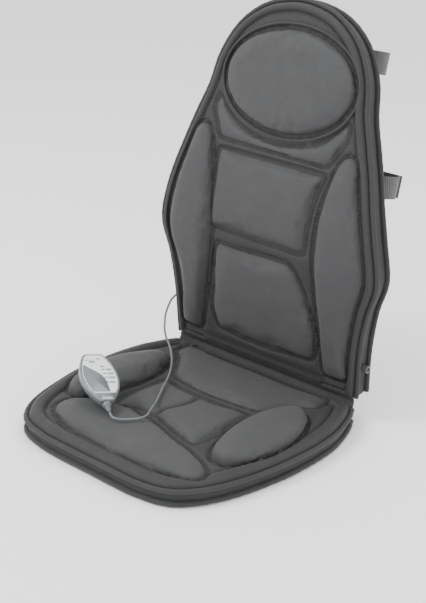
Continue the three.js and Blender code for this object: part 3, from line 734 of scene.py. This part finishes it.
def pillow(name, row):
    """A cushion: crowned between its seams, then puffed up by cloth pressure."""
    pad, _, height, reach, fill = row
    seam = SEAMS[name]
    inner = offset(seam, PULLED_IN)
    flat, faces = triangulate(inner, hexagons(inner, 6.0, 3.0))
    run = distance(flat, inner)
    top = stuffed(run, reach, height - 4)
    bottom = -stuffed(run, 5, 5.0)
    piece = sandwich(name + "_pillow", flat, faces, top + 0.02, bottom - 0.02)
    set_coordinates(piece, coordinates(piece) * MM)
    puff(piece)
    verts = coordinates(piece) / MM
    spot = verts[:, :2]
    soft = noise_at(spot, 42, height) * 0.9 + noise_at(spot, 15, 5.5) * 0.35
    pucker = 0.2 * np.sin(seam_run(spot, seam) / 2.6)
    near = np.exp(-(distance(spot, seam) / 7) ** 2)
    above = np.clip(verts[:, 2] / 3, 0, 1)
    full = height - 1.2 - WADDING + SUNK
    verts[:, 2] *= np.where(verts[:, 2] > 0, full / verts[:, 2].max(), 1)
    # dark is painted shade along the seam and along any sewn channel, for the material to darken
    # the cover by
    dark = np.exp(-(distance(spot, seam) / 3.6) ** 2)
    for channel in CHANNELS.get(name, []):
        gap = distance(spot, channel, closed=False)
        verts[:, 2] -= above * 5 * np.exp(-(gap / 4.5) ** 2)
        dark = np.maximum(dark, np.exp(-(gap / 3.0) ** 2))
    verts[:, 2] += above * (soft * (1 - near) + pucker * near)
    out = verts[:, 2] + WADDING - SUNK
    set_coordinates(piece, pad.place(verts[:, 0], verts[:, 1], out))
    shade_seams(piece, dark)
    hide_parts(name)
    return dress(piece, "cushion_cover", pad.body)


def shade_seams(piece, dark):
    """Stores each point's painted shade, from 0 to 1 and strongest near a seam, for the cover's
    material.
    """
    mark = piece.data.attributes.new("seam_shade", "FLOAT", "POINT")
    mark.data.foreach_set("value", np.asarray(dark, np.float32))


def seam_run(points, seam):
    """How far round the seam each point's nearest seam point is."""
    out = np.empty(len(points))
    for start in range(0, len(points), 4000):
        gap = np.linalg.norm(points[start:start + 4000, None] - seam, axis=-1)
        out[start:start + 4000] = gap.argmin(1) * SEAM_STEP
    return out


VOXEL = 0.0045           # the cushions' mesh, in metres
FURTHEST = 0.0045        # how far the cloth may carry a point
CLOTH_FRAMES = 20


def puff(piece):
    """Remeshes a cushion evenly, inflates it a little as cloth and keeps how far points may go."""
    remesh = piece.modifiers.new("even", "REMESH")
    remesh.mode, remesh.voxel_size = "VOXEL", VOXEL
    even = piece.modifiers.new("even_out", "SMOOTH")
    even.factor, even.iterations = 0.5, 4
    apply_modifiers(piece)
    start = coordinates(piece)
    cloth = piece.modifiers.new("cloth", "CLOTH")
    cloth.settings.use_pressure = True
    cloth.settings.uniform_pressure_force = 4
    cloth.settings.effector_weights.gravity = 0
    cloth.settings.quality = 4
    for frame_number in range(1, CLOTH_FRAMES + 1):
        bpy.context.scene.frame_set(frame_number)
    graph = bpy.context.evaluated_depsgraph_get()
    moved = coordinates_of(piece.evaluated_get(graph).data)
    piece.modifiers.clear()
    bpy.context.scene.frame_set(1)
    shift = moved - start
    length = np.linalg.norm(shift, axis=1, keepdims=True)
    shift *= np.minimum(1, FURTHEST / np.maximum(length, 1e-9))
    set_coordinates(piece, start + shift)
    smooth = piece.modifiers.new("smooth", "SUBSURF")
    smooth.levels = smooth.render_levels = 1
    apply_modifiers(piece)


seat_skin = skin("seat_cover_skin", SEAT, SEAT_RIM, [], "seat")
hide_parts("seat_top_cover")
back_skin = skin("back_cover_skin", BACK, BACK_RIM, [NECK_LINE, LOWER_BAND], "back")
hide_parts("back_front_cover")
pillows = {name: pillow(name, row) for name, row in CUSHIONS.items()}


# ---- the pads' sides, piping and fold ----
PIPING_OUT, PIPING_RADIUS = 4.5, 4.3
PIPING_STEP, COVER_STEP = 3.0, 4.0       # distance between points along the edge
CLEAR_OF_CREASE = 5                      # the piping stops this far from the crease


def one_run(loop, keep):
    """The one unbroken stretch of a closed loop whose points are kept."""
    first = int(np.argmax(keep & ~np.roll(keep, 1)))
    return np.roll(loop, -first, 0)[np.roll(keep, -first)]


def edge_line(pad, outward):
    """The pad's edge from the crease's left end round to its right end, without the crease."""
    loop = pad.outline(-outward, spacing=PIPING_STEP)
    clear = (loop[:, 1] - pad.crease) * np.sign(pad.far - pad.crease) > CLEAR_OF_CREASE
    return one_run(loop, clear)


def piping_piece(name, pad, level, look):
    """A covered cord round the pad's edge, with the slight twist and puckers of its stitching."""
    line = edge_line(pad, PIPING_OUT)
    run = np.arange(len(line)) * PIPING_STEP
    path = pad.place(line[:, 0], line[:, 1], level + 0.4 * np.sin(run / 31))
    radius = (PIPING_RADIUS + 0.14 * np.sin(run / 2.9) + 0.12 * np.sin(run / 17)) * MM
    piece = tube_object(name + "_cord", path, radius, sides=14)
    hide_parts(name)
    return dress(piece, look, pad.body)


piping_piece("seat_piping_upper", SEAT, -2.4, "leatherette")
piping_piece("seat_piping_lower", SEAT, -24.4, "side_fabric")
piping_piece("back_piping_front", BACK, -BACK_FACE - 1, "leatherette")
piping_piece("back_piping_rear", BACK, -BACK_DEPTH + 1.6, "side_fabric")

ZIP_UP, ZIP_END = 34, 168                # the zip's height above the crease and its half length
ZIP_CALM, ZIP_FADE = 26, 30              # the cloth is flat this near the zip, and creased beyond


def cover_piece(name, pad, low, high, look):
    """The fabric under and round a pad: a shallow tray with a softly creased side wall. The
    cloth lies smooth where the zip is sewn in."""
    loop = pad.outline(spacing=COVER_STEP)
    centre = np.array([0.0, (pad.crease + pad.far) / 2])
    side = normals(loop)
    run = np.arange(len(loop)) * COVER_STEP
    shares = np.linspace(0.04, 0.985, 26)
    rings = []

    def ring(points, out):
        rings.append(pad.place(points[:, 0], points[:, 1], out))

    def face(out, order, wrinkle):
        for share in order:
            points = centre + (loop - centre) * share
            sag = noise_at(points, 70, 2.2) + 0.5 * noise_at(points, 24, 6.1)
            calm = np.clip((np.abs(points[:, 1] - ZIP_UP) - ZIP_CALM) / ZIP_FADE, 0, 1)
            ring(points, out + wrinkle * sag * calm * min(1, (1 - share) * 12))

    face(low, shares, 0.9 if pad is BACK else 0.0)
    ring(loop - side * 0.6, low)
    for t in np.linspace(0.04, 0.96, 9):
        folds = 0.6 * np.sin(run / 23 + 2 * np.sin(t * 3)) + 0.5 * np.sin(run / 7.3 + 4 * t)
        wide = 1.1 * math.sin(math.pi * t) + 0.5 * folds * math.sin(math.pi * t)
        ring(loop + side * wide[:, None], low + (high - low) * t)
    ring(loop - side * 0.5, high)
    ring(loop - side * 1.7, high)
    ring(loop - side * 1.7, low + 1.7)
    face(low + 1.7, shares[::-1], 0.0)
    piece = rings_object(name + "_cloth", rings)
    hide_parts(name)
    return dress(piece, look, pad.body)


cover_piece("seat_bottom_cover", SEAT, -SEAT_TOP, -2.4, "side_fabric")
cover_piece("back_rear_cover", BACK, -BACK_DEPTH - BACK_FACE, -BACK_FACE - 0.4, "side_fabric")


def fold_web():
    """The cloth that joins the pads at the crease, with a soft bulge along its length."""
    section = [(197, 30.5), (200, 33.5), (202.6, 37), (203.4, 41), (202.8, 45), (203.4, 49),
               (205.4, 48.5), (206.4, 43), (206.2, 38), (205.2, 32), (203.6, 26), (201.5, 22),
               (199, 22), (197.5, 26)]
    half = float(SEAT.half(SEAT_REAR)) + 6
    rings = []
    for x in np.linspace(-half, half, 130):
        wave = 0.5 * math.sin(x / 9.0) + 0.5 * math.sin(x / 23.0)
        end = min(1.0, (half - abs(x)) / 6 + 0.35) ** 0.5
        rings.append([(x, 202.4 + (y - 202.4) * end + 0.3 * wave, 36 + (z - 36) * end + 0.7 * wave)
                      for y, z in section])
    piece = rings_object("fold_web", np.array(rings) * MM)
    piece.data.materials.append(LOOKS["side_fabric"])
    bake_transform(piece)


fold_web()


# ---- stitching along the seams ----


def surface_of(pieces):
    """One tree over the faces of several pieces, to drop points onto."""
    verts, faces = [], []
    for piece in pieces:
        base = len(verts)
        verts += [tuple(v.co) for v in piece.data.vertices]
        faces += [[base + k for k in p.vertices] for p in piece.data.polygons]
    return BVHTree.FromPolygons(verts, faces)


def lay_on(tree, pad, spots):
    """Drops 2-D points onto the pad's cushions; gives points and surface normals."""
    top = pad.place(spots[:, 0], spots[:, 1], 70)
    foot = pad.place(spots[:, 0], spots[:, 1], -4)
    for a, b in zip(top, foot):
        hit, normal, _, _ = tree.ray_cast(Vector(a), Vector(b - a).normalized())
        if hit is not None:
            yield hit, normal


def stitches(name, pad, lines, tree, look="thread"):
    """Short raised threads laid end to end along each line."""
    length, gap, thick = 4.2, 2.6, 0.42
    verts, faces = [], []
    for line in lines:
        spots = resample(line, length + gap, closed=False)
        ahead = np.gradient(spots, axis=0)
        ahead /= np.maximum(np.linalg.norm(ahead, axis=1, keepdims=True), 1e-9)
        tips = np.stack([spots - ahead * length / 2, spots + ahead * length / 2], 1)
        landed = list(lay_on(tree, pad, tips.reshape(-1, 2)))
        if len(landed) != 2 * len(spots):
            continue
        for (a, na), (b, nb) in zip(landed[::2], landed[1::2]):
            along = b - a
            if along.length > 2 * length * MM:
                continue
            up = (na + nb).normalized()
            side = along.cross(up).normalized() * thick * MM
            rise = up * thick * MM
            base = len(verts)
            for t, s in ((0, 0.25), (0.2, 1), (0.8, 1), (1, 0.25)):
                p = a + along * t
                verts += [p - side * s, p + rise * s * 1.1, p + side * s, p - rise * s]
            for k in range(3):
                for m in range(4):
                    q = base + 4 * k
                    faces.append((q + m, q + (m + 1) % 4, q + 4 + (m + 1) % 4, q + 4 + m))
            faces += [tuple(base + m for m in (3, 2, 1, 0)), tuple(base + 12 + m for m in range(4))]
    piece = mesh_object(name, verts, faces)
    return dress(piece, look, pad.body)


for pad, skin_piece, rim_width, extra in (
        (SEAT, seat_skin, SEAT_RIM[0], []),
        (BACK, back_skin, BACK_RIM[0], [NECK_LINE, LOWER_BAND])):
    names = [n for n, row in CUSHIONS.items() if row[0] is pad]
    tree = surface_of([skin_piece] + [pillows[n] for n in names])
    lines = []
    for n in names:
        ring = offset(SEAMS[n], -4.6)
        lines.append(np.vstack([ring, ring[:1]]))
    rim = np.roll(pad.outline(rim_width + 2.5), -3, 0)
    lines.append(rim[np.abs(rim[:, 1] - pad.crease) > 12])
    stitches(pad.body + "_stitching", pad, lines + extra, tree)


# ---- straps, welts and zip ----
STRAP_WIDTH, STRAP_THICK, STRAP_GAP = 38, 2, 0.4
STRAP_FLAT = 42          # the flat stretch ends this far inside the strap's half width
STRAP_ROWS = 17          # points across the webbing, one to each rib or furrow


def strap_piece(name, up, half, reach):
    """A loop of webbing behind the back: flat across, with slightly rolled edges and ribs."""
    start = BACK_DEPTH + STRAP_GAP
    side = [(half - 14, start), (half - 2, start + 16), (half, start + reach * 0.6),
            (half - 12, start + reach * 0.9), (half - STRAP_FLAT, start + reach)]
    path = [(-x, y) for x, y in side] + side[::-1]
    line = curve_through(path, spacing=3.0, closed=False)
    line[:, 1] = np.where(np.abs(line[:, 0]) < half - STRAP_FLAT, start + reach, line[:, 1])
    across = normals(line, closed=False)
    widths = np.linspace(-STRAP_WIDTH / 2, STRAP_WIDTH / 2, STRAP_ROWS)
    ribs = 0.16 * np.cos(np.arange(STRAP_ROWS) * math.pi)
    rings = []
    for (x, depth), (nx, ny) in zip(line, across):
        outer = [(x + nx * (STRAP_THICK / 2 + r), w, depth + ny * (STRAP_THICK / 2 + r))
                 for w, r in zip(widths, ribs)]
        inner = [(x - nx * (STRAP_THICK / 2 + r), w, depth - ny * (STRAP_THICK / 2 + r))
                 for w, r in zip(widths[::-1], ribs)]
        ring = np.array(outer + inner)
        rings.append(BACK.place(ring[:, 0], up + ring[:, 1], -ring[:, 2] - BACK_FACE))
    piece = rings_object(name + "_webbing", rings)
    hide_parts(name)
    return dress(piece, "webbing", "back")


strap_piece("shoulder_strap", 392, 196, 84)
strap_piece("head_strap", 590, 130, 78)


def welt(name, pad, line, radius, out, closed):
    """A thin corded bead sewn into a seam; an open one sinks into the cover at both ends."""
    step = np.arange(len(line))
    if closed:
        path = pad.place(line[:, 0], line[:, 1], out)
        piece = loop_tube(name, path, radius * MM, np.array([0.0, -0.98, 0.2]))
    else:
        taper = np.clip(np.minimum(step, step[::-1]) / 8, 0.25, 1)
        path = pad.place(line[:, 0], line[:, 1], out - 4 * (1 - taper))
        piece = tube_object(name, path, radius * taper * MM, sides=10)
    dress(piece, "leatherette", pad.body)


welt("head_welt", BACK, offset(SEAMS["head_oval_cushion"], -4.4), 2.5, WADDING - 0.2, True)
for side, name in ((-1, "left"), (1, "right")):
    ring = offset(SEAMS[f"back_{name}_wing"], -3.6)
    far = ring[:, 0] * side > WING_INNER(np.clip(ring[:, 1], 30, 430)) + 10
    line = one_run(ring, far)
    line = line[line[:, 1] > 150]
    welt(f"{name}_wing_welt", BACK, line, 2.0, WADDING + 0.4, False)


def zip_pieces():
    """The zip along the foot of the back's rear face: two tapes and a row of meshing teeth."""
    rear = -BACK_DEPTH - BACK_FACE
    rings = []
    for x in np.linspace(-ZIP_END - 8, ZIP_END + 8, 90):
        wave = 0.06 * math.sin(x / 6.0)
        section = [(-11, -0.6), (-10.4, 0.2), (-6.5, 0.24), (-3, 0.14), (0, 0.12), (3, 0.14),
                   (6.5, 0.24), (10.4, 0.2), (11, -0.6), (0, -0.9)]
        rings.append([BACK.place(x, ZIP_UP + up, rear - out - wave * (abs(up) > 6))
                      for up, out in section])
    dress(rings_object("zip_tape", rings), "webbing", "back")
    verts, faces = [], []
    for k, x in enumerate(np.arange(-ZIP_END, ZIP_END - 7, 2.2)):
        lean = 0.9 if k % 2 else -0.9
        block = [(dx, up + lean, out) for out in (-0.3, 0.36)
                 for dx, up in ((-0.75, -1.9), (0.75, -1.9), (0.75, 1.9), (-0.75, 1.9))]
        base = len(verts)
        for dx, up, out in block:
            shrink = 0.8 if out > 0 else 1.0
            verts.append(BACK.place(x + dx * shrink, ZIP_UP + up * shrink, rear - out))
        faces += [tuple(base + i for i in f) for f in (
            (0, 1, 2, 3), (7, 6, 5, 4), (0, 4, 5, 1), (1, 5, 6, 2), (2, 6, 7, 3), (3, 7, 4, 0))]
    dress(mesh_object("zip_teeth", verts, faces, smooth=False), "dark_plastic", "back")


zip_pieces()

# ---- handset: Y runs from the collar to the far end, X across, Z out of the face ----
HANDSET_AT = Vector((-52, -142, 75))
HANDSET_TURN = Euler([math.radians(a) for a in (16.5, 7, 60)], "YXZ").to_matrix()
HANDSET_LENGTH, HANDSET_WIDTH = 118, 67
RIM_INSET, FACE_TOP = 3.5, 0.6
HANDSET_HALF = profile([(0, 0.17), (0.1, 0.29), (0.28, 0.44), (0.5, 0.5), (0.72, 0.455),
                        (0.9, 0.345), (0.97, 0.28), (1, 0.23)])


def on_handset(x, y, z):
    """A place on the handset, in metres of the frame."""
    points = np.stack(np.broadcast_arrays(*(np.asarray(a, float) for a in (x, y, z))), -1)
    return (points @ np.array(HANDSET_TURN).T + np.array(HANDSET_AT)) * MM


def handset_loop(inset):
    """The handset's outline, pulled in by the inset."""
    rows = np.linspace(0, 1, 40)
    side = np.stack([HANDSET_HALF(rows) * HANDSET_WIDTH, rows * HANDSET_LENGTH], -1)
    loop = resample(np.vstack([side, side[::-1] * (-1, 1)]), 1.6)
    return offset(averaged(loop, 5), inset)


def handset_rings(name, sections, look, body="handset", ring=False):
    """A handset shell through outlines at (inset, height); ring leaves its middle open."""
    rings = []
    for inset, z in sections:
        loop = handset_loop(min(inset, 5))
        if inset > 5:
            middle = (loop.max(0) + loop.min(0)) / 2
            loop = middle + (loop - middle) * (24 - inset) / 19
        rings.append(on_handset(loop[:, 0], loop[:, 1], z))
    if ring:
        rings.append(rings[0])
    piece = rings_object(name, rings, capped=not ring)
    if ring:
        weld(piece)
    return dress(piece, look, body)


lower_shell = handset_rings("handset_back_shell", [
    (22, -19), (12, -19), (8, -18.7), (5, -17.9), (3, -16.6), (1.4, -14.4), (0.5, -11.6),
    (0.1, -9.2), (0.2, -8.5), (0.8, -8.2), (1.7, -8.3), (2.0, -10), (3.4, -14.6),
    (7, -17.1), (12, -17.3), (22, -17.3)], "handset_dark")
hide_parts("handset_lower_shell")
rim = handset_rings("handset_bezel", [
    (0.7, -7.9), (0.1, -7.2), (-0.1, -5), (0.1, -2.4), (0.6, -0.8), (1.4, 0.4), (2.2, 0.85),
    (3.0, 0.7), (3.4, 0.1), (RIM_INSET, -1.5), (RIM_INSET, -7.9)], "handset_trim", ring=True)
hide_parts("handset_rim")
face = handset_rings("handset_face_plate", [
    (22, -3.8), (12, -3.8), (RIM_INSET + 0.6, -3.8), (RIM_INSET + 0.6, 0.1),
    (RIM_INSET + 0.8, 0.45), (RIM_INSET + 1.4, FACE_TOP), (9, FACE_TOP + 0.05),
    (12, FACE_TOP + 0.05), (22, FACE_TOP + 0.05)], "handset_silver")
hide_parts("handset_face")
handset_rings("handset_gasket", [
    (RIM_INSET - 0.1, -0.9), (RIM_INSET - 0.1, -0.1), (RIM_INSET + 0.7, -0.1),
    (RIM_INSET + 0.7, -0.9)], "rubber_node", ring=True)
handset_rings("handset_seam", [
    (0.55, -8.5), (0.35, -8.2), (0.55, -7.8), (1.6, -7.8), (1.6, -8.5)], "rubber_node", ring=True)


def inlay(name, points, low, high, look, spacing=1.2, round_by=3):
    """A thin shaped plate let into the face, with softly rounded edges."""
    loop = averaged(resample(np.asarray(points, float), spacing), round_by)
    if area(loop) < 0:
        loop = loop[::-1]
    rings = []
    for inset, z in ((0, low), (0, high - 0.12), (0.15, high)):
        edge = offset(loop, inset)
        rings.append(on_handset(edge[:, 0], edge[:, 1], z))
    return dress(rings_object(name, rings), look, "handset")


left_edge = [(-float(HANDSET_HALF(t)) * HANDSET_WIDTH + RIM_INSET + 1.6, t * HANDSET_LENGTH)
             for t in np.linspace(0.17, 0.76, 9)]
inlay("handset_wave_inlay", left_edge + [
    (-19, 86), (-13, 79), (-5, 73), (2, 65), (7, 55), (9, 44), (9, 32), (9, 20)],
    FACE_TOP - 0.3, FACE_TOP + 0.3, "handset_wave")
inlay("handset_foot_inlay", [(-11, 5.5), (-18, 17.5), (18, 17.5), (11, 5.5)],
      FACE_TOP - 0.3, FACE_TOP + 0.35, "handset_wave")
MARKS = [(-15, 101, 6.0, 1.8), (6, 103.5, 7.0, 2.0), (9.0, 84, 5.4, 2.4), (8.8, 76, 5.6, 1.9),
         (9.8, 66, 5.6, 1.9), (10.4, 56, 5.6, 1.9), (9.2, 44, 5.8, 2.1)]
for number, (x, y, w, h) in enumerate(MARKS, 1):
    corners = [(x - w / 2, y - h / 2), (x + w / 2, y - h / 2), (x + w / 2, y + h / 2),
               (x - w / 2, y + h / 2)]
    inlay(f"handset_mark_{number}", corners, FACE_TOP - 0.2, FACE_TOP + 0.42, "handset_mark",
          spacing=0.4, round_by=1)

KEYS = {"power": (-6, 97, 9, 5), "mode_1": (19, 76, 9, 4), "mode_2": (20, 66, 9, 4),
        "mode_3": (20, 56, 9, 4), "heat": (18, 44, 9, 4)}
for key, (x, y, w, h) in KEYS.items():
    angles = np.linspace(0, 2 * math.pi, 40, endpoint=False)
    squared = np.stack([np.sign(np.cos(angles)) * np.abs(np.cos(angles)) ** 0.45 * w / 2,
                        np.sign(np.sin(angles)) * np.abs(np.sin(angles)) ** 0.45 * h / 2], -1)
    rings = []
    for share, z in ((0.98, -7.4), (0.98, 1.1), (0.94, 1.5), (0.82, 1.78), (0.5, 1.66),
                     (0.2, 1.6)):
        rings.append(on_handset(x + squared[:, 0] * share, y + squared[:, 1] * share, z))
    # painted shade: a flat near-black ring round each key, in the marks' colour, stands in for the
    # shaded gap between the key and the face
    gap_shadow = np.array([x, y]) + squared * (1 + 1.3 / np.array([w, h]))
    inlay(f"key_gap_shadow_{key}", gap_shadow,
          FACE_TOP - 0.3, FACE_TOP + 0.12, "handset_mark", spacing=0.5, round_by=1)
    cap = dress(rings_object(f"key_cap_{key}", rings), "button_grey", f"key_{key}")
    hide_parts(f"button_{key}")

# The collar: a ribbed sleeve that keeps the cord from kinking.
COLLAR_LENGTH, COLLAR_AXIS = 17, -10.5
rings = []
for y in np.linspace(0.4, COLLAR_LENGTH, 52):
    wide = float(np.interp(y, (0, 4.5, 9.5, COLLAR_LENGTH), (9.4, 8.2, 5.2, 3.7)))
    rib = 0.45 * max(0.0, math.sin((y - 6) * 2 * math.pi / 2.6)) if y > 6 else 0.0
    around = np.linspace(0, 2 * math.pi, 32, endpoint=False)
    rings.append(on_handset((wide + rib - 0.2) * np.cos(around), -y,
                            COLLAR_AXIS + (wide + rib - 0.2) * np.sin(around) * 0.96))
collar = dress(rings_object("handset_cord_sleeve", rings), "handset_dark", "handset")
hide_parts("handset_collar")

# ---- every carried-over CAD node gets its look ----
for row in frame["record"]["subparts"]:
    node = bpy.data.objects.get(row["node"])
    if node is not None and node.type == "MESH":
        node.data.materials.clear()
        node.data.materials.append(LOOKS[row["material_slot"]])
